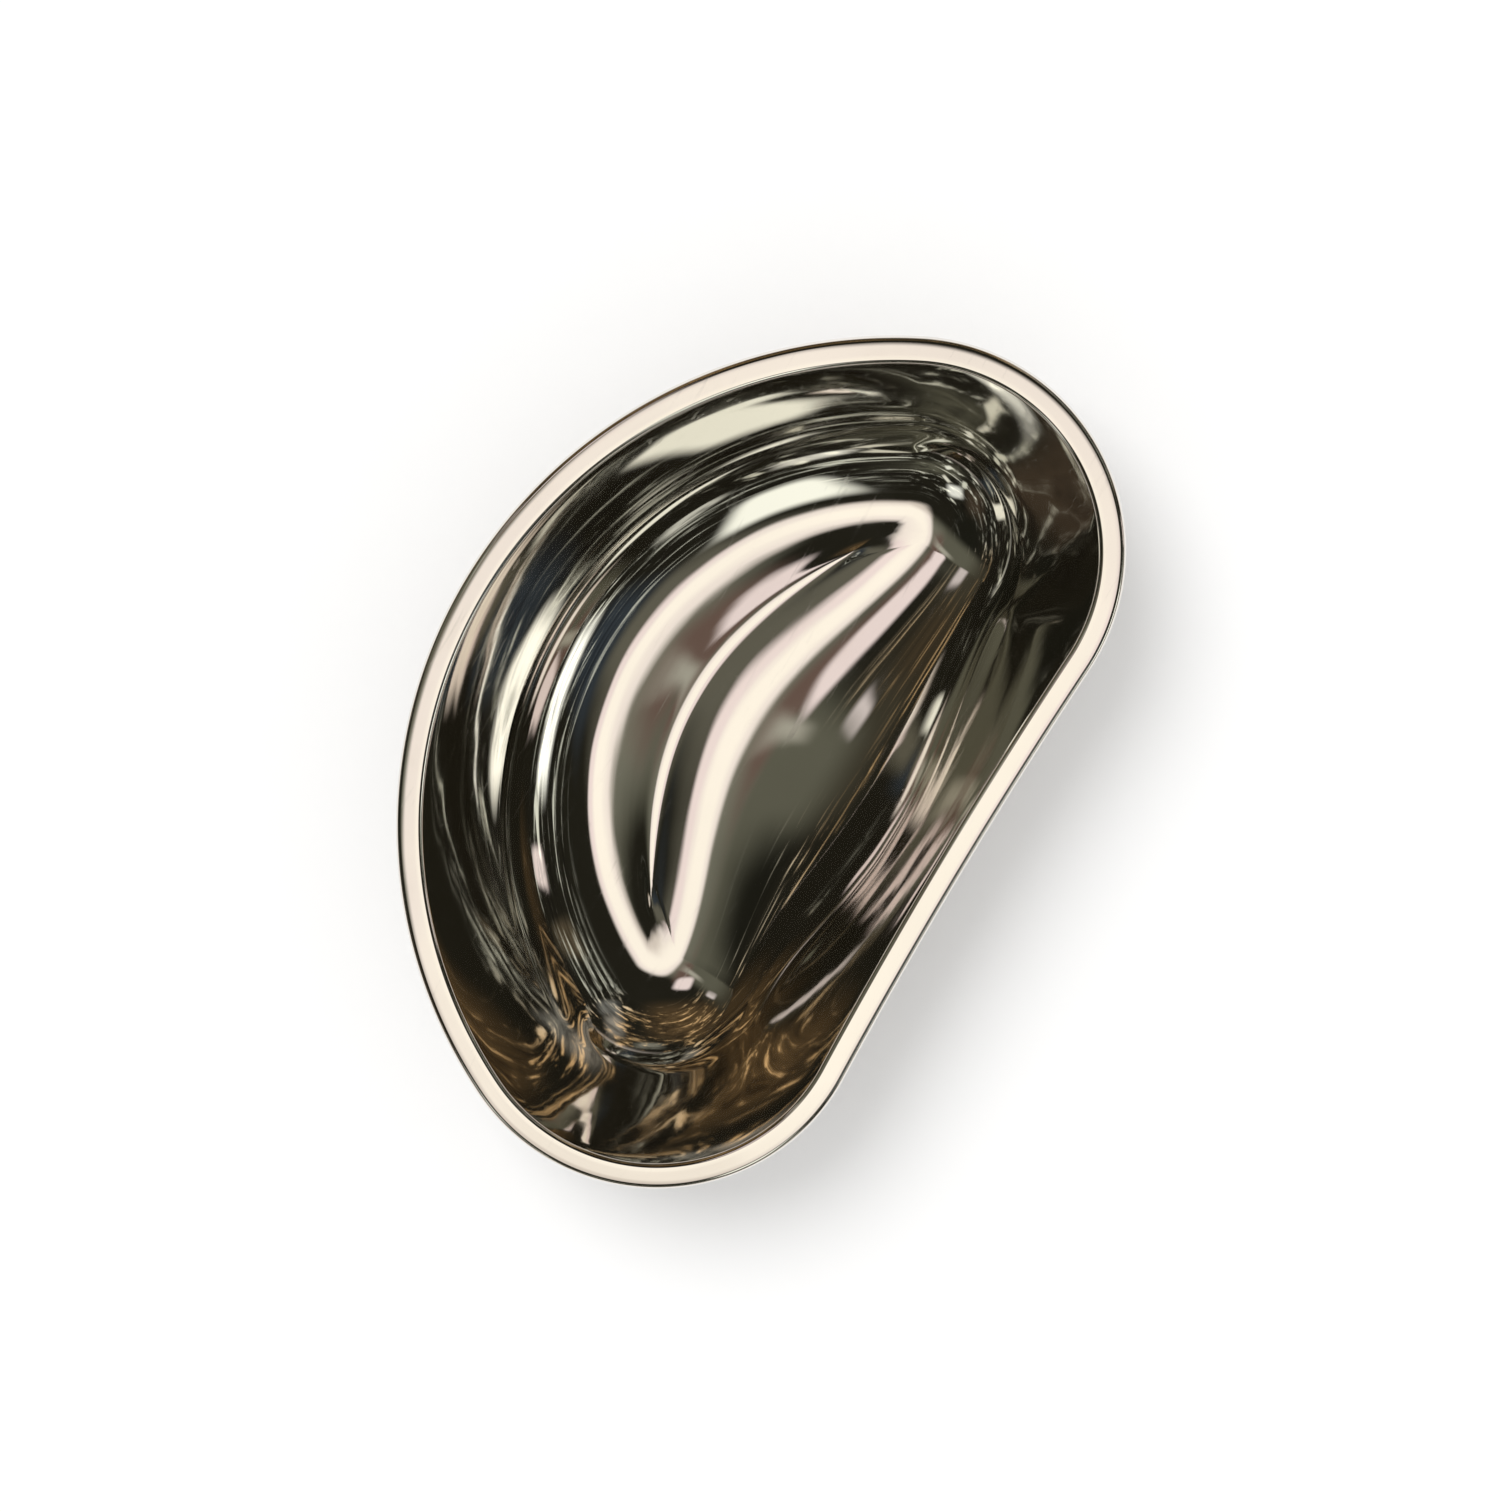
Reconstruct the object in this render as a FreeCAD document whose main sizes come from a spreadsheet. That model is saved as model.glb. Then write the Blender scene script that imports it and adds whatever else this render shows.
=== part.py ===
import FreeCAD, Part
import math
import os

import Sketcher
from FreeCAD import Vector

# Kidney dish pressed from stainless sheet, with its rim rolled round a steel wire.
#
# Frame: millimetres, +Z up, origin on the resting plane, under the middle of the outline's box.
# X runs along the dish. +Y is its long convex side and -Y its shallow waist.
#
# Two physical pieces:
#   dish_shell  one drawn sheet: flat floor, large floor radius, sloping wall and rolled rim
#   rim_wire    the closed wire loop that the rim is rolled round

# Driving dimensions, in millimetres and degrees.
SIZES = {
    "dish_length": 200.0,  # over the rolled rim
    "dish_width": 125.0,  # from the convex side to the lobes beside the waist
    "dish_height": 38.0,  # from the resting plane to the top of the rim
    "end_radius": 46.0,  # outline's radius at both ends
    "waist_dip": 1.2,  # how far the waist curves in between the lobes
    "sheet_gauge": 0.8,  # thickness of the pressed sheet
    "wire_diameter": 3.0,  # wire inside the rolled rim
    "wire_play": 0.05,  # gap between the wire and the sheet round it
    "rim_corner": 1.3,  # outside radius of the bends beside the rim's flat top
    "rim_land": 3.5,  # width of the rim's flat top
    "rim_return": 4.1,  # how far the rolled edge runs back in under the rim
    "wall_slope": 60.0,  # wall, measured from horizontal
    "floor_radius": 26.0,  # inside radius between wall and floor
    "floor_overlap": 1.0,  # flat strip that the swept section and the floor share
}

# Expressions that several features share.
GAUGE = "Sizes.sheet_gauge"
SLOPE = "(Sizes.wall_slope * 1deg)"
CURL_RADIUS = "(Sizes.wire_diameter / 2 + Sizes.wire_play)"
BEAD_RADIUS = f"({CURL_RADIUS} + {GAUGE})"
WIRE_HEIGHT = f"(Sizes.dish_height - {BEAD_RADIUS})"
END_CENTRE_X = "(Sizes.dish_length / 2 - Sizes.end_radius)"
END_CENTRE_Y = "(Sizes.dish_width / 2 - Sizes.end_radius)"
WAIST_RADIUS = (
    f"({END_CENTRE_X} / sin(2 * atan(Sizes.waist_dip / {END_CENTRE_X}))"
    " - Sizes.end_radius)"
)

# Inset where the wall's inside face would meet the rim's top, and where the floor turns flat.
BROW_INSET = f"(Sizes.rim_land + Sizes.rim_corner * (1 + tan({SLOPE} / 2)))"
FLOOR_INSET = (
    f"({BROW_INSET} + Sizes.floor_radius * sin({SLOPE}) + (Sizes.dish_height - {GAUGE}"
    f" - Sizes.floor_radius * (1 - cos({SLOPE}))) / tan({SLOPE}))"
)

# Ends of a sketched edge, as Sketcher numbers them.
START = 1
END = 2
CENTRE = 3
X_AXIS = -1
Y_AXIS = -2
ORIGIN = (-1, 1)


def make_sizes(doc):
    """Spreadsheet of the driving dimensions, one alias a row."""
    sheet = doc.addObject("Spreadsheet::Sheet", "Sizes")
    for row, (alias, value) in enumerate(SIZES.items(), start=1):
        sheet.set(f"A{row}", alias)
        sheet.set(f"B{row}", str(value))
        sheet.setAlias(f"B{row}", alias)
    doc.recompute()


def make_body(doc, label):
    """Body of one physical piece, in place in the dish's frame."""
    body = doc.addObject("PartDesign::Body", label)
    body.Label = label
    body.Placement = FreeCAD.Placement()
    return body


def new_sketch(body, name, role):
    """Empty sketch on one of the body's own origin planes."""
    sketch = body.newObject("Sketcher::SketchObject", name)
    face = next(f for f in body.Origin.OriginFeatures if f.Role == role)
    sketch.AttachmentSupport = [(face, "")]
    sketch.MapMode = "FlatFace"
    return sketch


def fix(sketch, kind, *elements):
    """Adds a constraint that has no size of its own."""
    sketch.addConstraint(Sketcher.Constraint(kind, *elements))


def bind(sketch, kind, *elements, now, to):
    """Adds a dimension, drawn at its present value and bound to an expression."""
    index = sketch.addConstraint(Sketcher.Constraint(kind, *elements, now))
    sketch.setExpression(f"Constraints[{index}]", to)


def add_arc(sketch, centre, radius, first, last):
    """Adds an anticlockwise arc, its angles in degrees, and returns its number."""
    circle = Part.Circle(Vector(*centre, 0), Vector(0, 0, 1), radius)
    return sketch.addGeometry(
        Part.ArcOfCircle(circle, math.radians(first), math.radians(last))
    )


def add_line(sketch, first, last):
    """Adds a straight line and returns its number."""
    return sketch.addGeometry(Part.LineSegment(Vector(*first, 0), Vector(*last, 0)))


def polar(centre, radius, degrees):
    """Point at a radius and an angle from a centre."""
    angle = math.radians(degrees)
    return centre[0] + radius * math.cos(angle), centre[1] + radius * math.sin(angle)


def draw_outline(body, name, inset, inset_expression):
    """Kidney of tangent arcs, a constant inset inside the rim's outside.

    The convex side is two arcs that meet on the Y axis, because the section starts there.
    """
    end_x = SIZES["dish_length"] / 2 - SIZES["end_radius"]
    end_y = SIZES["dish_width"] / 2 - SIZES["end_radius"]
    end_radius = SIZES["end_radius"] - inset
    rise = 2 * end_y
    turn = math.degrees(2 * math.atan2(rise, end_x))
    waist_turn = math.degrees(2 * math.atan2(SIZES["waist_dip"], end_x))
    convex_reach = end_x / math.sin(math.radians(turn))
    waist_reach = end_x / math.sin(math.radians(waist_turn))
    convex_y = -end_y - convex_reach * math.cos(math.radians(turn))
    waist_y = -end_y - waist_reach * math.cos(math.radians(waist_turn))
    convex_radius = convex_reach + end_radius
    waist_radius = waist_reach - end_radius

    sketch = new_sketch(body, name, "XY_Plane")
    convex_left = add_arc(sketch, (0, convex_y), convex_radius, 90, 90 + turn)
    end_left = add_arc(sketch, (-end_x, -end_y), end_radius, 90 + turn, 270 + waist_turn)
    waist = add_arc(sketch, (0, waist_y), waist_radius, 90 - waist_turn, 90 + waist_turn)
    end_right = add_arc(sketch, (end_x, -end_y), end_radius, -90 - waist_turn, 90 - turn)
    convex_right = add_arc(sketch, (0, convex_y), convex_radius, 90 - turn, 90)

    fix(sketch, "Tangent", convex_left, END, end_left, START)
    fix(sketch, "Tangent", end_left, END, waist, END)
    fix(sketch, "Tangent", waist, START, end_right, START)
    fix(sketch, "Tangent", end_right, END, convex_right, START)
    fix(sketch, "Tangent", convex_right, END, convex_left, START)
    fix(sketch, "Equal", convex_left, convex_right)
    fix(sketch, "Equal", end_left, end_right)
    fix(sketch, "Symmetric", end_left, CENTRE, end_right, CENTRE, Y_AXIS)
    fix(sketch, "PointOnObject", convex_left, START, Y_AXIS)
    bind(sketch, "DistanceY", *ORIGIN, convex_left, START,
         now=SIZES["dish_width"] / 2 - inset, to=f"Sizes.dish_width / 2 - {inset_expression}")
    bind(sketch, "DistanceX", *ORIGIN, end_right, CENTRE, now=end_x, to=END_CENTRE_X)
    bind(sketch, "DistanceY", end_right, CENTRE, *ORIGIN, now=end_y, to=END_CENTRE_Y)
    bind(sketch, "Radius", end_right,
         now=end_radius, to=f"Sizes.end_radius - {inset_expression}")
    bind(sketch, "Radius", waist,
         now=waist_radius, to=f"{WAIST_RADIUS} + {inset_expression}")
    return sketch


def draw_section(body):
    """Section of the sheet where the convex side crosses the Y axis, as one closed loop.

    From the floor the wall leans outwards to the rim, whose flat top bends down over the wire and
    back in under it. The two faces of the sheet are drawn a gauge apart.
    """
    gauge = SIZES["sheet_gauge"]
    slope = math.radians(SIZES["wall_slope"])
    bend = SIZES["floor_radius"]
    corner = SIZES["rim_corner"]
    curl = SIZES["wire_diameter"] / 2 + SIZES["wire_play"]
    outside = SIZES["dish_width"] / 2
    top = SIZES["dish_height"]
    wire = (outside - curl - gauge, top - curl - gauge)
    shoulder = (outside - corner, top - corner)
    brow = (shoulder[0] - SIZES["rim_land"], shoulder[1])
    lip = wire[0] - SIZES["rim_return"]
    brow_inset = SIZES["rim_land"] + corner * (1 + math.tan(slope / 2))
    drop = top - gauge - bend * (1 - math.cos(slope))
    floor_inset = brow_inset + drop / math.tan(slope) + bend * math.sin(slope)
    hub = (outside - floor_inset, gauge + bend)
    floor_end_x = hub[0] - SIZES["floor_overlap"]
    lean = 90 + SIZES["wall_slope"]

    sketch = new_sketch(body, "SheetSection", "YZ_Plane")
    faces = []
    for depth in (0, gauge):
        floor_z = gauge - depth
        bottom = wire[1] - curl - gauge + depth
        faces.append({
            "floor": add_line(sketch, (hub[0], floor_z), (floor_end_x, floor_z)),
            "bend": add_arc(sketch, hub, bend + depth, 270, lean + 180),
            "wall": add_line(sketch, polar(hub, bend + depth, lean + 180),
                             polar(brow, corner - depth, lean)),
            "brow": add_arc(sketch, brow, corner - depth, 90, lean),
            "land": add_line(sketch, (brow[0], top - depth), (shoulder[0], top - depth)),
            "shoulder": add_arc(sketch, shoulder, corner - depth, 0, 90),
            "flank": add_line(sketch, (outside - depth, shoulder[1]), (outside - depth, wire[1])),
            "curl": add_arc(sketch, wire, curl + gauge - depth, 270, 360),
            "return": add_line(sketch, (wire[0], bottom), (lip, bottom)),
        })
    inside, outer = faces
    floor_end = add_line(sketch, (floor_end_x, 0), (floor_end_x, gauge))
    lip_end = add_line(sketch, (lip, top - 2 * (curl + gauge)), (lip, top - 2 * curl - gauge))

    for face in faces:
        fix(sketch, "Tangent", face["bend"], START, face["floor"], START)
        fix(sketch, "Tangent", face["bend"], END, face["wall"], START)
        fix(sketch, "Tangent", face["wall"], END, face["brow"], END)
        fix(sketch, "Tangent", face["brow"], START, face["land"], START)
        fix(sketch, "Tangent", face["land"], END, face["shoulder"], END)
        fix(sketch, "Tangent", face["shoulder"], START, face["flank"], START)
        fix(sketch, "Tangent", face["flank"], END, face["curl"], END)
        fix(sketch, "Tangent", face["curl"], START, face["return"], START)
        fix(sketch, "Horizontal", face["floor"])
        fix(sketch, "Horizontal", face["land"])
        fix(sketch, "Vertical", face["flank"])
        fix(sketch, "Horizontal", face["return"])
    for arc in ("bend", "brow", "shoulder", "curl"):
        fix(sketch, "Coincident", inside[arc], CENTRE, outer[arc], CENTRE)
    fix(sketch, "Coincident", floor_end, START, outer["floor"], END)
    fix(sketch, "Coincident", floor_end, END, inside["floor"], END)
    fix(sketch, "Coincident", lip_end, START, inside["return"], END)
    fix(sketch, "Coincident", lip_end, END, outer["return"], END)
    fix(sketch, "Vertical", floor_end)
    fix(sketch, "Vertical", lip_end)
    fix(sketch, "PointOnObject", outer["floor"], START, X_AXIS)
    bind(sketch, "Distance", floor_end, now=gauge, to=GAUGE)
    bind(sketch, "Distance", lip_end, now=gauge, to=GAUGE)
    bind(sketch, "Distance", inside["floor"], now=SIZES["floor_overlap"], to="Sizes.floor_overlap")
    bind(sketch, "Distance", inside["land"], now=SIZES["rim_land"], to="Sizes.rim_land")
    bind(sketch, "Distance", inside["return"], now=SIZES["rim_return"], to="Sizes.rim_return")
    bind(sketch, "Radius", inside["bend"], now=bend, to="Sizes.floor_radius")
    bind(sketch, "Radius", inside["brow"], now=corner, to="Sizes.rim_corner")
    bind(sketch, "Radius", inside["shoulder"], now=corner, to="Sizes.rim_corner")
    bind(sketch, "Radius", outer["curl"], now=curl, to=CURL_RADIUS)
    bind(sketch, "Angle", inside["wall"], now=slope, to=SLOPE)
    bind(sketch, "DistanceY", *ORIGIN, inside["land"], START, now=top, to="Sizes.dish_height")
    bind(sketch, "DistanceX", *ORIGIN, inside["curl"], CENTRE,
         now=wire[0], to=f"Sizes.dish_width / 2 - {BEAD_RADIUS}")
    bind(sketch, "DistanceY", *ORIGIN, inside["curl"], CENTRE, now=wire[1], to=WIRE_HEIGHT)
    return sketch, floor_inset


def sweep(body, name, section, path):
    """Sweeps a section all the way round a closed outline."""
    pipe = body.newObject("PartDesign::AdditivePipe", name)
    pipe.Profile = section
    pipe.Spine = (path, [f"Edge{i + 1}" for i in range(path.GeometryCount)])
    return pipe


def make_dish_shell(doc):
    """The pressed sheet: wall and rolled rim swept round the outline, and the flat floor."""
    body = make_body(doc, "dish_shell")
    bead = SIZES["wire_diameter"] / 2 + SIZES["wire_play"] + SIZES["sheet_gauge"]
    path = draw_outline(body, "RimLine", bead, BEAD_RADIUS)
    path.setExpression("AttachmentOffset.Base.z", WIRE_HEIGHT)
    section, floor_inset = draw_section(body)
    doc.recompute()
    sweep(body, "WallAndRim", section, path)
    doc.recompute()

    overlap = SIZES["floor_overlap"] / 2
    floor_line = draw_outline(
        body, "FloorLine", floor_inset + overlap, f"({FLOOR_INSET} + Sizes.floor_overlap / 2)"
    )
    floor = body.newObject("PartDesign::Pad", "Floor")
    floor.Profile = floor_line
    floor.setExpression("Length", GAUGE)
    return body


def make_rim_wire(doc):
    """The round wire inside the rolled rim, its ends butt-welded into a closed loop."""
    body = make_body(doc, "rim_wire")
    bead = SIZES["wire_diameter"] / 2 + SIZES["wire_play"] + SIZES["sheet_gauge"]
    path = draw_outline(body, "WireLine", bead, BEAD_RADIUS)
    path.setExpression("AttachmentOffset.Base.z", WIRE_HEIGHT)
    section = new_sketch(body, "WireSection", "YZ_Plane")
    centre = Vector(SIZES["dish_width"] / 2 - bead, SIZES["dish_height"] - bead, 0)
    ring = section.addGeometry(
        Part.Circle(centre, Vector(0, 0, 1), SIZES["wire_diameter"] / 2)
    )
    bind(section, "Diameter", ring, now=SIZES["wire_diameter"], to="Sizes.wire_diameter")
    bind(section, "DistanceX", *ORIGIN, ring, CENTRE,
         now=centre.x, to=f"Sizes.dish_width / 2 - {BEAD_RADIUS}")
    bind(section, "DistanceY", *ORIGIN, ring, CENTRE, now=centre.y, to=WIRE_HEIGHT)
    doc.recompute()
    sweep(body, "Wire", section, path)
    return body


def check(doc, bodies):
    """Stops unless every feature is sound and every piece is one valid solid."""
    for item in doc.Objects:
        if "Invalid" in item.State or "Error" in item.State:
            raise RuntimeError(f"{item.Label}: {item.State}")
    for body in bodies:
        shape = body.Shape
        if shape.isNull() or not shape.isValid() or len(shape.Solids) != 1:
            raise RuntimeError(f"{body.Label}: not one valid solid")


def main():
    doc = FreeCAD.newDocument("kidney_dish")
    make_sizes(doc)
    bodies = [make_dish_shell(doc), make_rim_wire(doc)]
    doc.recompute()
    check(doc, bodies)

    os.makedirs("parts", exist_ok=True)
    for body in bodies:
        body.Shape.exportStep(f"parts/{body.Label}.step")
        box = body.Shape.optimalBoundingBox()
        print(body.Label, round(body.Shape.Volume, 1), "mm3", box)


main()
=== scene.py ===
import math

import bpy
import bmesh
from mathutils import Matrix, Vector


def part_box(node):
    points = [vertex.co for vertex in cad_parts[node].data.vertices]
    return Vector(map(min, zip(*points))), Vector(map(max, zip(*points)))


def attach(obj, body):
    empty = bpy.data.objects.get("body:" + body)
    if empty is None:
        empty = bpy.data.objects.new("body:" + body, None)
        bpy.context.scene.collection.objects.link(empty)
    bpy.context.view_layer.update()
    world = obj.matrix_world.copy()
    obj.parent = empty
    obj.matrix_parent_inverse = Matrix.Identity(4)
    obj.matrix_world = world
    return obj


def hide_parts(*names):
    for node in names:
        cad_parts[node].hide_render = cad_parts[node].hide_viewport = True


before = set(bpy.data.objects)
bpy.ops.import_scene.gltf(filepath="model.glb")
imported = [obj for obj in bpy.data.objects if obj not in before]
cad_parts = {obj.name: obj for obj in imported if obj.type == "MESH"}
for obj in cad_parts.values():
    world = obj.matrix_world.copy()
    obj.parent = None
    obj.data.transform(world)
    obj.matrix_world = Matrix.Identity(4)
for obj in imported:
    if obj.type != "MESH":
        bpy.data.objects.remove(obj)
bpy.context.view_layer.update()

# ---------------------------------------------------------------- sizes, in millimetres
MM = 0.001  # one millimetre in metres
# The CAD node's mesh is a hair smaller than its curves, so its sizes are rounded to whole millimetres.
LENGTH, WIDTH, HEIGHT = (round((high - low) / MM) for low, high in zip(*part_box("dish_shell")))
END_RADIUS = 46.0  # of the outline's two ends
WAIST_DIP = 1.2  # depth of the hollow in the nearly straight side
GAUGE = 0.8  # thickness of the sheet
CURL = 1.55  # inside radius of the roll round the wire
BEAD = CURL + GAUGE
CORNER = 1.3  # outside radius on both sides of the rim's flat top
LAND = 3.5  # width of the rim's flat top
RETURN = 4.1  # how far the rolled edge runs back in
SLOPE = math.radians(60)  # of the wall, up from the floor
BEND = 26.0  # inside radius between floor and wall
SOFTER = 21.0  # the radius grows by this much halfway along the nearly straight side
CROWN = 1.2  # the floor's middle stands this much higher than its edge
CROWN_BLEND = 0.8  # share of the way to the middle over which the floor gets steeper
SPINE_TRIM = 14.0  # the floor's middle line stops this far short of the floor's ends

# The outline is four arcs that meet smoothly: the convex side, an end, the waist and the other end.
# Each end's centre is at x = END_X or -END_X and y = END_Y. TURN and WAIST_TURN are half the angles of
# the two long arcs, and the reaches run from their centres to the centres of the ends.
END_X = LENGTH / 2 - END_RADIUS
END_Y = -(WIDTH / 2 - END_RADIUS)
TURN = 2 * math.atan2(-2 * END_Y, END_X)
WAIST_TURN = 2 * math.atan2(WAIST_DIP, END_X)
CONVEX_REACH = END_X / math.sin(TURN)
WAIST_REACH = END_X / math.sin(WAIST_TURN)

# ---------------------------------------------------------------- how finely the sheet is meshed
CONVEX_STEPS = 150
END_STEPS = 90
WAIST_STEPS = 60
FLAT_STEPS = (10, 4, 2, 6)  # up the wall, over the rim's flat top, down its edge and back to the lip
WIRE_EXTRA_STEPS = 6  # the roll round the wire has this many more than a corner
FLOOR_RINGS = 22  # from the floor's edge to its middle line
SAME_SPOT = 1e-7  # metres: vertices closer than this are joined
RING_GRAIN = 0.001  # metres of polishing lines for each ring of the floor
CAP_GRAIN = 0.03  # where the floor's middle line lies in the polishing lines, in metres

# ---------------------------------------------------------------- view, in degrees and metres
TILT = math.radians(10)  # of the camera, away from straight down
LEAN = math.radians(25)  # the side it is tilted to, turned from the x axis
UP = math.radians(30.1)  # where the picture's upward direction lies, turned from the x axis
DISTANCE = 0.9
AIM = (-0.0027, -0.0116, 0.020)
SENSOR = 36.0  # millimetres
LENS = 98.286  # millimetres
CLIP_END = 50.0
RIGHT_AXIS = (math.sin(UP), -math.cos(UP), 0.0)
UP_AXIS = (math.cos(UP), math.sin(UP), 0.0)

# ---------------------------------------------------------------- light and floor
FLOOR_REACH = 4.0  # metres from the middle to each side
PLAIN_COLOUR = (1.0, 0.995, 0.985)
PLAIN_STRENGTH = 0.80
KEY_STRENGTH = 1.4
KEY_ANGLE = math.radians(32)  # how wide the lamp looks, which softens the shadow
KEY_UPWARD = 0.62  # how far the lamp leans to the picture's top
KEY_LEFTWARD = 0.42  # and to its left

# The room that the steel mirrors, painted over a dark ground in this order: FAR patches, then the
# clutter of the room, then NEAR patches, then the horizon. Each patch is (x, y, half width, half
# height, turn, softness, colour), in degrees away from straight up: x along RIGHT_AXIS and y along
# UP_AXIS. The horizon is (first degree, last degree, colour). The patches were placed so that the
# dish mirrors light and dark about where the photo's does.
ROOM = (0.016, 0.015, 0.010)
FAR = (
    (-22, 45, 26, 16, 0, 0.6, (0.10, 0.065, 0.030)),
    (54, 10, 10, 3, 15, 0.5, (0.10, 0.080, 0.050)),
    (-50, -30, 8, 14, 0, 0.6, (0.06, 0.045, 0.030)),
    (-20, -58, 18, 6, 0, 0.6, (0.11, 0.11, 0.08)),
    (30, -28, 14, 7, -35, 0.5, (0.035, 0.045, 0.055)),
    (38, 50, 7, 10, 0, 0.8, (0.30, 0.28, 0.24)),
    (40, 33, 9, 6, 0, 0.5, (0.20, 0.20, 0.18)),
    (-33, -38, 6, 5, 0, 0.4, (0.90, 0.92, 0.85)),
    (51, -28, 6, 13, -17, 0.35, (1.60, 1.62, 1.48)),
    (33, -60, 4, 6, -35, 0.4, (0.60, 0.60, 0.52)),
    (63, -2, 6, 4, 0, 0.3, (0.90, 0.78, 0.74)),
    (8, 70, 12, 3, 0, 0.5, (0.22, 0.22, 0.18)),
)
NEAR = (
    (-42, -8, 12, 15, 0, 0.5, (0.012, 0.012, 0.008)),
    (-48, 20, 16, 10, -31, 0.5, (0.05, 0.045, 0.03)),
    (-40, 21, 4.5, 2.5, -25, 0.4, (0.78, 0.70, 0.68)),
    (-30, 5, 24, 8, -31, 0.5, (0.12, 0.12, 0.088)),
    (-9, -6, 7, 6, -31, 0.8, (0.20, 0.20, 0.155)),
    (12, -20, 7, 5, -35, 0.7, (0.13, 0.125, 0.095)),
    (-13, 0, 5, 6, 0, 0.6, (0.15, 0.10, 0.08)),
    (-15, 9, 6, 5, -10, 0.3, (0.95, 0.82, 0.80)),
    (-19, 2, 9, 1.2, -35, 0.8, (0.42, 0.41, 0.34)),
    (11, -40, 5.5, 12, 18, 0.3, (1.15, 1.17, 1.04)),
    (-30, -60, 2.5, 2.0, 20, 0.4, (0.90, 0.92, 0.80)),
    (-42, -46, 2.0, 3.0, -20, 0.4, (0.70, 0.72, 0.60)),
    (-27, -48, 1.5, 3.5, 35, 0.4, (0.80, 0.80, 0.68)),
    (0, -10.5, 7.5, 8.5, -20, 0.25, (1.04, 0.95, 0.88)),
    (6.5, -12.5, 2.2, 4.5, 0, 0.6, (1.02, 0.88, 0.85)),
    (-4, -17.5, 4.5, 3.0, 0, 0.8, (0.80, 0.72, 0.64)),
    (-0.3, -11.0, 4.0, 5.5, -27, 0.5, (1.20, 1.13, 1.00)),
)
HORIZON = (76.0, 84.0, (0.80, 0.72, 0.65))


# ---------------------------------------------------------------- the pressed sheet
def outline():
    """Points and outward normals round the rim's outside, in millimetres: (x, y, nx, ny)."""
    rows = []
    quarter = math.pi / 2
    convex_y = END_Y - CONVEX_REACH * math.cos(TURN)
    waist_y = END_Y - WAIST_REACH * math.cos(WAIST_TURN)
    convex_radius = CONVEX_REACH + END_RADIUS
    waist_radius = WAIST_REACH - END_RADIUS

    def arc(centre, radius, first, last, count, sign=1.0):
        """Part of a circle without its last point. A sign of -1 turns the normals to the centre."""
        for i in range(count):
            angle = first + (last - first) * i / count
            rows.append((centre[0] + radius * math.cos(angle), centre[1] + radius * math.sin(angle),
                         sign * math.cos(angle), sign * math.sin(angle)))

    arc((0.0, convex_y), convex_radius, quarter - TURN, quarter + TURN, CONVEX_STEPS)
    arc((-END_X, END_Y), END_RADIUS, quarter + TURN, 3 * quarter + WAIST_TURN, END_STEPS)
    arc((0.0, waist_y), waist_radius, quarter + WAIST_TURN, quarter - WAIST_TURN, WAIST_STEPS, -1.0)
    arc((END_X, END_Y), END_RADIUS, -quarter - WAIST_TURN, quarter - TURN, END_STEPS)
    return rows


def softness(x, side):
    """How much of SOFTER the radius gets at x, where the outline's normal leans by side in y."""
    if side > 0 or abs(x) > END_X:
        return 0.0
    return (1 - (x / END_X) ** 2) ** 2


def section(bend):
    """Section of the sheet and the inset of the floor's edge, for one radius between floor and wall.

    The section is points (inset, height), from the floor's edge up the inside, over the rim's flat
    top, round the wire to the lip and back along the outside to the floor's edge."""
    wire = (BEAD, HEIGHT - BEAD)
    shoulder = (CORNER, HEIGHT - CORNER)
    brow = (CORNER + LAND, HEIGHT - CORNER)
    lip = BEAD + RETURN
    brow_inset = LAND + CORNER * (1 + math.tan(SLOPE / 2))
    drop = HEIGHT - GAUGE - bend * (1 - math.cos(SLOPE))
    hub = (brow_inset + drop / math.tan(SLOPE) + bend * math.sin(SLOPE), GAUGE + bend)
    lean = math.pi / 2 - SLOPE

    def arc(centre, radius, first, last, count):
        return [(centre[0] + radius * math.cos(first + (last - first) * i / count),
                 centre[1] + radius * math.sin(first + (last - first) * i / count))
                for i in range(count + 1)]

    def face(depth, bend_steps, corner_steps):
        """One face of the sheet, from floor to lip, at a depth below the inside face."""
        rows = [arc(hub, bend + depth, -math.pi / 2, lean - math.pi, bend_steps),
                arc(brow, CORNER - depth, lean, math.pi / 2, corner_steps),
                arc(shoulder, CORNER - depth, math.pi / 2, math.pi, corner_steps),
                arc(wire, BEAD - depth, math.pi, 1.5 * math.pi, corner_steps + WIRE_EXTRA_STEPS),
                [(lip, HEIGHT - 2 * BEAD + depth)]]
        points = list(rows[0])
        for row, steps in zip(rows[1:], FLAT_STEPS):
            x, z = points[-1]
            points += [(x + (row[0][0] - x) * i / steps, z + (row[0][1] - z) * i / steps)
                       for i in range(1, steps)]
            points += row
        return points

    inside = face(0.0, bend_steps=48, corner_steps=12)
    outside = face(GAUGE, bend_steps=36, corner_steps=8)
    return inside + outside[::-1], hub[0]


def spine_point(x, floor_inset):
    """Where a point of the floor's edge ends up on the floor's middle line."""
    growth = SOFTER * (math.sin(SLOPE) - (1 - math.cos(SLOPE)) / math.tan(SLOPE))
    half = END_X + END_RADIUS - floor_inset
    run = x * (half - SPINE_TRIM) / half
    convex = CONVEX_REACH + END_RADIUS - floor_inset
    top = END_Y - CONVEX_REACH * math.cos(TURN) + math.sqrt(convex ** 2 - run ** 2)
    low = END_Y - (END_RADIUS - floor_inset) + growth * softness(run, -1.0)
    return run, (top + low) / 2


def crown_profile(share):
    """Rise of the floor, a share of the way from its edge to its middle line, where it rounds over."""
    if share < CROWN_BLEND:
        return share * share / CROWN_BLEND
    past = share - CROWN_BLEND
    return CROWN_BLEND + (2 * past - past ** 2 / (1 - CROWN_BLEND))


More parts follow.
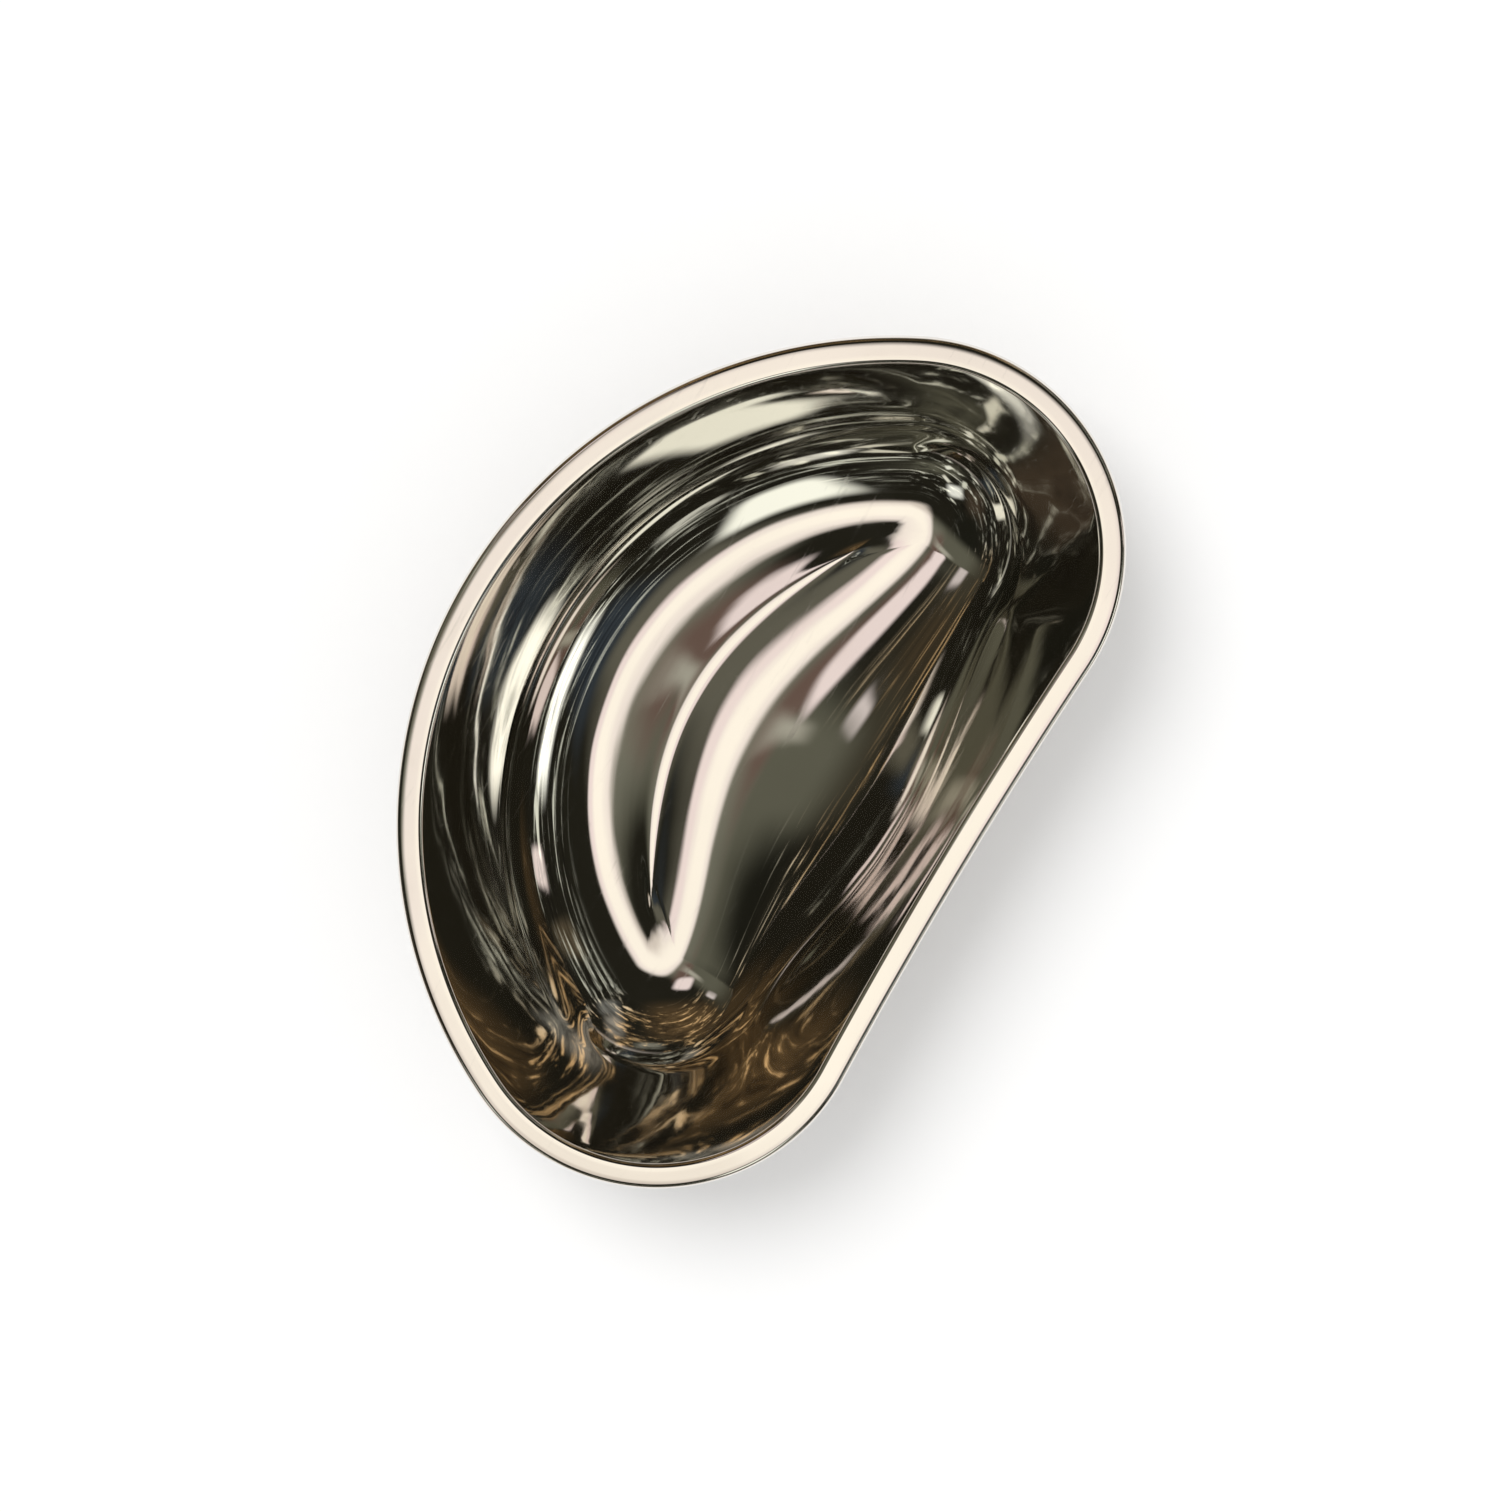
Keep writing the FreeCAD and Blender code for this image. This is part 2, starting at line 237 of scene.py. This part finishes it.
def add_object(name, data):
    """Puts a mesh, camera or lamp into the scene."""
    thing = bpy.data.objects.new(name, data)
    bpy.context.scene.collection.objects.link(thing)
    return thing


def make_shell():
    """The pressed sheet as one closed mesh: rings of the section, joined round the outline."""
    rows = outline()
    loops, insets = zip(*[section(BEND + SOFTER * softness(x, ny)) for x, y, nx, ny in rows])
    loop, floor_inset = section(BEND)
    count = len(rows)
    verts, faces, grain = [], [], []
    run = [0.0]
    for (xa, ya, *_), (xb, yb, *_) in zip(rows, rows[1:] + rows[:1]):
        run.append(run[-1] + math.hypot(xb - xa, yb - ya) * MM)

    def add_ring(points):
        verts.extend(points)
        return len(verts) - count

    def stitch(low, high, low_v, high_v):
        """Faces between two rings, given by their first vertices, and where they lie in the grain."""
        for i in range(count):
            j = (i + 1) % count
            faces.append((low + i, low + j, high + j, high + i))
            grain.extend(((run[i], low_v), (run[i + 1], low_v), (run[i + 1], high_v), (run[i], high_v)))

    def floor(edge_ring, base, flip):
        """Rings that close in from the floor's edge to its middle line, and the cap that shuts it."""
        edge = [(x - nx * inset, y - ny * inset) for (x, y, nx, ny), inset in zip(rows, insets)]
        last = edge_ring
        for k in range(1, FLOOR_RINGS):
            share = k / FLOOR_RINGS
            rise = base + CROWN * crown_profile(share)
            points = []
            for x, y in edge:
                sx, sy = spine_point(x, floor_inset)
                points.append(((x + (sx - x) * share) * MM, (y + (sy - y) * share) * MM, rise * MM))
            ring = add_ring(points)
            low, high = (last, ring) if flip else (ring, last)
            stitch(low, high, -RING_GRAIN * k, -RING_GRAIN * (k - 1))
            last = ring
        cap = range(last, last + count)
        faces.append(tuple(cap if flip else reversed(cap)))
        grain.extend([(0.0, -CAP_GRAIN)] * count)

    rings = []
    for stations in zip(*loops):
        rings.append(add_ring([((x - nx * inset) * MM, (y - ny * inset) * MM, z * MM)
                               for (x, y, nx, ny), (inset, z) in zip(rows, stations)]))
    v = 0.0
    for i in range(len(loop) - 1):
        step = math.dist(loop[i], loop[i + 1]) * MM
        stitch(rings[i], rings[i + 1], v, v + step)
        v += step
    floor(rings[0], GAUGE, False)
    floor(rings[-1], 0.0, True)

    mesh = bpy.data.meshes.new("dish_polished_sheet")
    mesh.from_pydata(verts, [], faces)
    layer = mesh.uv_layers.new(name="grain")
    for corner, spot in zip(layer.data, grain):
        corner.uv = spot
    close_mesh(mesh)
    return add_object("dish_polished_sheet", mesh)


def close_mesh(mesh):
    """Joins vertices at one spot, turns the normals outwards, cuts up the caps and shades smoothly."""
    shape = bmesh.new()
    shape.from_mesh(mesh)
    bmesh.ops.remove_doubles(shape, verts=shape.verts, dist=SAME_SPOT)
    bmesh.ops.recalc_face_normals(shape, faces=shape.faces)
    bmesh.ops.triangulate(shape, faces=[face for face in shape.faces if len(face.verts) > 4])
    shape.to_mesh(mesh)
    shape.free()
    for face in mesh.polygons:
        face.use_smooth = True


# ---------------------------------------------------------------- materials
def opaque(tint):
    """A colour with full alpha."""
    return tuple(tint) + (1.0,)


class Graph:
    """Small helper that adds nodes to a node tree and joins them."""

    def __init__(self, tree):
        self.tree = tree

    def put(self, value, socket):
        """Joins a node's input to another node's output, or gives it a number or colour."""
        if isinstance(value, bpy.types.NodeSocket):
            self.tree.links.new(value, socket)
        else:
            socket.default_value = value

    def add(self, kind, inputs=(), **settings):
        node = self.tree.nodes.new(kind)
        for name, value in settings.items():
            setattr(node, name, value)
        for socket, value in dict(inputs).items():
            self.put(value, node.inputs[socket])
        return node

    def calc(self, operation, *values):
        return self.add("ShaderNodeMath", enumerate(values), operation=operation).outputs[0]

    def vector_calc(self, operation, first, second):
        return self.add("ShaderNodeVectorMath", {0: first, 1: second}, operation=operation)

    def dot(self, vector, direction):
        return self.vector_calc("DOT_PRODUCT", vector, direction).outputs["Value"]

    def stretch(self, vector, scale):
        return self.vector_calc("MULTIPLY", vector, scale).outputs[0]

    def join(self, x, y, z):
        return self.add("ShaderNodeCombineXYZ", {0: x, 1: y, 2: z}).outputs[0]

    def ramp(self, value, low, high, out_low=0.0, out_high=1.0):
        inputs = {"Value": value, 1: low, 2: high, 3: out_low, 4: out_high}
        return self.add("ShaderNodeMapRange", inputs, interpolation_type="SMOOTHSTEP").outputs[0]

    def noise(self, vector, scale=1.0, detail=2.0, roughness=0.5, distortion=0.0):
        inputs = {"Vector": vector, "Scale": scale, "Detail": detail, "Roughness": roughness,
                  "Distortion": distortion}
        return self.add("ShaderNodeTexNoise", inputs).outputs["Fac"]

    def mix(self, factor, first, second, blend="MIX"):
        inputs = {0: factor, 6: first, 7: second}
        return self.add("ShaderNodeMix", inputs, data_type="RGBA", blend_type=blend).outputs[2]

    def bump(self, height, strength, distance, normal=None):
        inputs = {"Height": height, "Strength": strength, "Distance": distance}
        if normal is not None:
            inputs["Normal"] = normal
        return self.add("ShaderNodeBump", inputs).outputs[0]

    def background(self, colour, strength):
        return self.add("ShaderNodeBackground", {"Color": colour, "Strength": strength}).outputs[0]

    def choose(self, factor, first, second):
        return self.add("ShaderNodeMixShader", {0: factor, 1: first, 2: second}).outputs[0]


def new_material(name):
    """An empty material, the graph of its nodes, its shader and its place in the object's own axes."""
    material = bpy.data.materials.new(name)
    material.use_nodes = True
    graph = Graph(material.node_tree)
    place = graph.add("ShaderNodeTexCoord").outputs["Object"]
    return material, graph, material.node_tree.nodes["Principled BSDF"], place


def steel(name, tone, rough, wobble):
    """Polished stainless steel: slow waviness of the pressing, polishing lines, haze and hairlines.

    The tone is the metal's colour, rough is its roughness where nothing marks it, and wobble is the
    height of the waviness in metres."""
    material, graph, shader, place = new_material(name)
    grain = graph.add("ShaderNodeUVMap", uv_map="grain").outputs[0]

    cloud = graph.noise(place, scale=28.0, detail=3.0)
    haze = graph.ramp(graph.noise(place, scale=55.0, detail=5.0, roughness=0.6), 0.48, 0.72)
    lines = graph.noise(graph.stretch(grain, (40.0, 2600.0, 1.0)), detail=3.0, roughness=0.6)
    scratched = graph.stretch(place, (60.0, 900.0, 400.0))
    hairs = graph.ramp(graph.noise(scratched, detail=1.0, distortion=0.6), 0.66, 0.70)
    spots = graph.ramp(graph.noise(place, scale=420.0), 0.70, 0.78)

    light = opaque(min(1.0, channel * 1.06) for channel in tone)
    dark = opaque(channel * 0.93 for channel in tone)
    hazy = opaque((0.74, 0.70, 0.62))
    colour = graph.mix(cloud, dark, light)
    graph.put(graph.mix(graph.calc("MULTIPLY", haze, 0.10), colour, hazy), shader.inputs["Base Color"])

    marks = ((haze, 0.035), (graph.ramp(lines, 0.5, 0.75), 0.02), (hairs, 0.05), (spots, 0.05))
    gloss = rough
    for mark, amount in marks:
        gloss = graph.calc("ADD", gloss, graph.calc("MULTIPLY", mark, amount))
    graph.put(gloss, shader.inputs["Roughness"])
    shader.inputs["Metallic"].default_value = 1.0

    slow = graph.noise(place, scale=42.0, detail=1.0, roughness=0.4)
    ripples = graph.noise(graph.stretch(grain, (30.0, 190.0, 1.0)), detail=1.0)
    wave = graph.bump(slow, 1.0, wobble)
    ripple = graph.bump(ripples, 1.0, wobble * 0.12, wave)
    graph.put(graph.bump(lines, 0.25, 2.0e-6, ripple), shader.inputs["Normal"])
    return material


def pale_floor():
    """Matt white, with a very faint cloudiness."""
    material, graph, shader, place = new_material("studio_floor_look")
    tone = graph.mix(graph.noise(place, scale=3.0, detail=3.0), opaque((0.90,) * 3), opaque((0.93,) * 3))
    graph.put(tone, shader.inputs["Base Color"])
    shader.inputs["Roughness"].default_value = 0.85
    shader.inputs["Specular IOR Level"].default_value = 0.1
    return material


# ---------------------------------------------------------------- floor, camera, light
def make_floor():
    reach = FLOOR_REACH
    mesh = bpy.data.meshes.new("studio_floor")
    corners = [(-reach, -reach, 0), (reach, -reach, 0), (reach, reach, 0), (-reach, reach, 0)]
    mesh.from_pydata(corners, [], [(0, 1, 2, 3)])
    mesh.materials.append(pale_floor())
    floor = add_object("studio_floor", mesh)


def make_camera():
    back = Vector((math.sin(TILT) * math.cos(LEAN), math.sin(TILT) * math.sin(LEAN), math.cos(TILT)))
    up = Vector(UP_AXIS)
    up = (up - up.dot(back) * back).normalized()
    right = up.cross(back)
    lens = bpy.data.cameras.new("camera")
    lens.sensor_width = SENSOR
    lens.lens = LENS
    lens.clip_end = CLIP_END
    camera = add_object("camera", lens)
    turn = Matrix((right, up, back)).transposed().to_4x4()
    camera.matrix_world = Matrix.Translation(Vector(AIM) + DISTANCE * back) @ turn
    bpy.context.scene.camera = camera


def sky_chart(graph):
    """The direction looked in as a flat chart in degrees from straight up, and its zenith angle."""
    look = graph.add("ShaderNodeTexCoord").outputs["Generated"]
    across = graph.dot(look, RIGHT_AXIS)
    along = graph.dot(look, UP_AXIS)
    zenith = graph.calc("MULTIPLY", graph.calc("ARCCOSINE", graph.dot(look, (0.0, 0.0, 1.0))),
                        180 / math.pi)
    squares = [graph.calc("MULTIPLY", part, part) for part in (across, along)]
    flat = graph.calc("SQRT", graph.calc("ADD", *squares))
    spread = graph.calc("DIVIDE", zenith, graph.calc("ADD", flat, 1e-6))
    chart = graph.join(graph.calc("MULTIPLY", across, spread), graph.calc("MULTIPLY", along, spread), 0.0)
    return chart, zenith


def paint_patches(graph, chart, room, patches):
    """Rounded rectangles with soft edges, each painted over what is there."""
    for x, y, width, height, turn, soft, tint in patches:
        cos, sin = math.cos(math.radians(turn)), math.sin(math.radians(turn))
        away = graph.vector_calc("SUBTRACT", chart, (x, y, 0.0)).outputs[0]
        wide = graph.calc("ABSOLUTE", graph.dot(away, (cos / width, sin / width, 0.0)))
        high = graph.calc("ABSOLUTE", graph.dot(away, (-sin / height, cos / height, 0.0)))
        powers = graph.calc("ADD", graph.calc("POWER", wide, 4.0), graph.calc("POWER", high, 4.0))
        cover = graph.ramp(graph.calc("POWER", powers, 0.25), 1 - soft, 1 + soft, 1.0, 0.0)
        room = graph.mix(cover, room, opaque(tint))
    return room


def paint_clutter(graph, chart, zenith, room):
    """Cluttered shelves round the room: bands that follow the horizon, broken up along their run."""
    gloom_tint = opaque((0.006, 0.005, 0.004))
    cool_tint = opaque((0.80, 0.82, 0.70))
    warm_tint = opaque((0.85, 0.56, 0.27))
    bands = graph.join(graph.calc("MULTIPLY", zenith, 0.30),
                       graph.dot(chart, (0.045, 0.014, 0.0)),
                       graph.dot(chart, (-0.014, 0.045, 0.0)))
    shelf = graph.noise(bands, detail=4.0, roughness=0.65, distortion=0.9)
    away = graph.ramp(zenith, 27.0, 40.0)
    gloom = graph.calc("MULTIPLY", graph.ramp(shelf, 0.50, 0.34), away)
    room = graph.mix(graph.calc("MULTIPLY", gloom, 0.6), room, gloom_tint)
    glow = graph.calc("MULTIPLY", graph.ramp(shelf, 0.545, 0.67), away)
    warm = graph.ramp(graph.dot(chart, (-0.25, 1.0, 0.0)), 5.0, 40.0)
    return graph.mix(glow, room, graph.mix(warm, cool_tint, warm_tint), "ADD")


def make_world():
    """White for the camera, the painted room for mirrored rays and plain pale light for the rest."""
    world = bpy.data.worlds.new("studio")
    bpy.context.scene.world = world
    world.use_nodes = True
    world.node_tree.nodes.clear()
    graph = Graph(world.node_tree)
    chart, zenith = sky_chart(graph)
    room = paint_patches(graph, chart, opaque(ROOM), FAR)
    room = paint_clutter(graph, chart, zenith, room)
    room = paint_patches(graph, chart, room, NEAR)
    low, high, tint = HORIZON
    room = graph.mix(graph.ramp(zenith, low, high), room, opaque(tint))

    path = graph.add("ShaderNodeLightPath")
    mirrored = graph.background(room, 1.0)
    plain = graph.background(opaque(PLAIN_COLOUR), PLAIN_STRENGTH)
    seen = graph.background(opaque((1.0, 1.0, 1.0)), 1.0)
    light = graph.choose(path.outputs["Is Glossy Ray"], plain, mirrored)
    light = graph.choose(path.outputs["Is Camera Ray"], light, seen)
    graph.add("ShaderNodeOutputWorld", {0: light})


def make_key():
    """Wide soft light from the upper left of the view, for the shadow on the floor."""
    sun = bpy.data.lights.new("key", "SUN")
    sun.energy = KEY_STRENGTH
    sun.angle = KEY_ANGLE
    key = add_object("key", sun)
    source = Vector(UP_AXIS) * KEY_UPWARD - Vector(RIGHT_AXIS) * KEY_LEFTWARD + Vector((0, 0, 1.0))
    key.rotation_euler = source.to_track_quat("Z", "Y").to_euler()
    key.visible_glossy = False


shell = make_shell()
shell.data.materials.append(steel("polished_steel_look", (0.83, 0.80, 0.755), 0.035, 1.2e-4))
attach(shell, "root")
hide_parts("dish_shell")

wire = bpy.data.objects.get("rim_wire")
wire.data.materials.clear()
wire.data.materials.append(steel("wire_steel_look", (0.62, 0.60, 0.57), 0.22, 1.0e-5))

make_floor()
make_camera()
make_world()
make_key()
bpy.context.scene.view_settings.view_transform = "Standard"
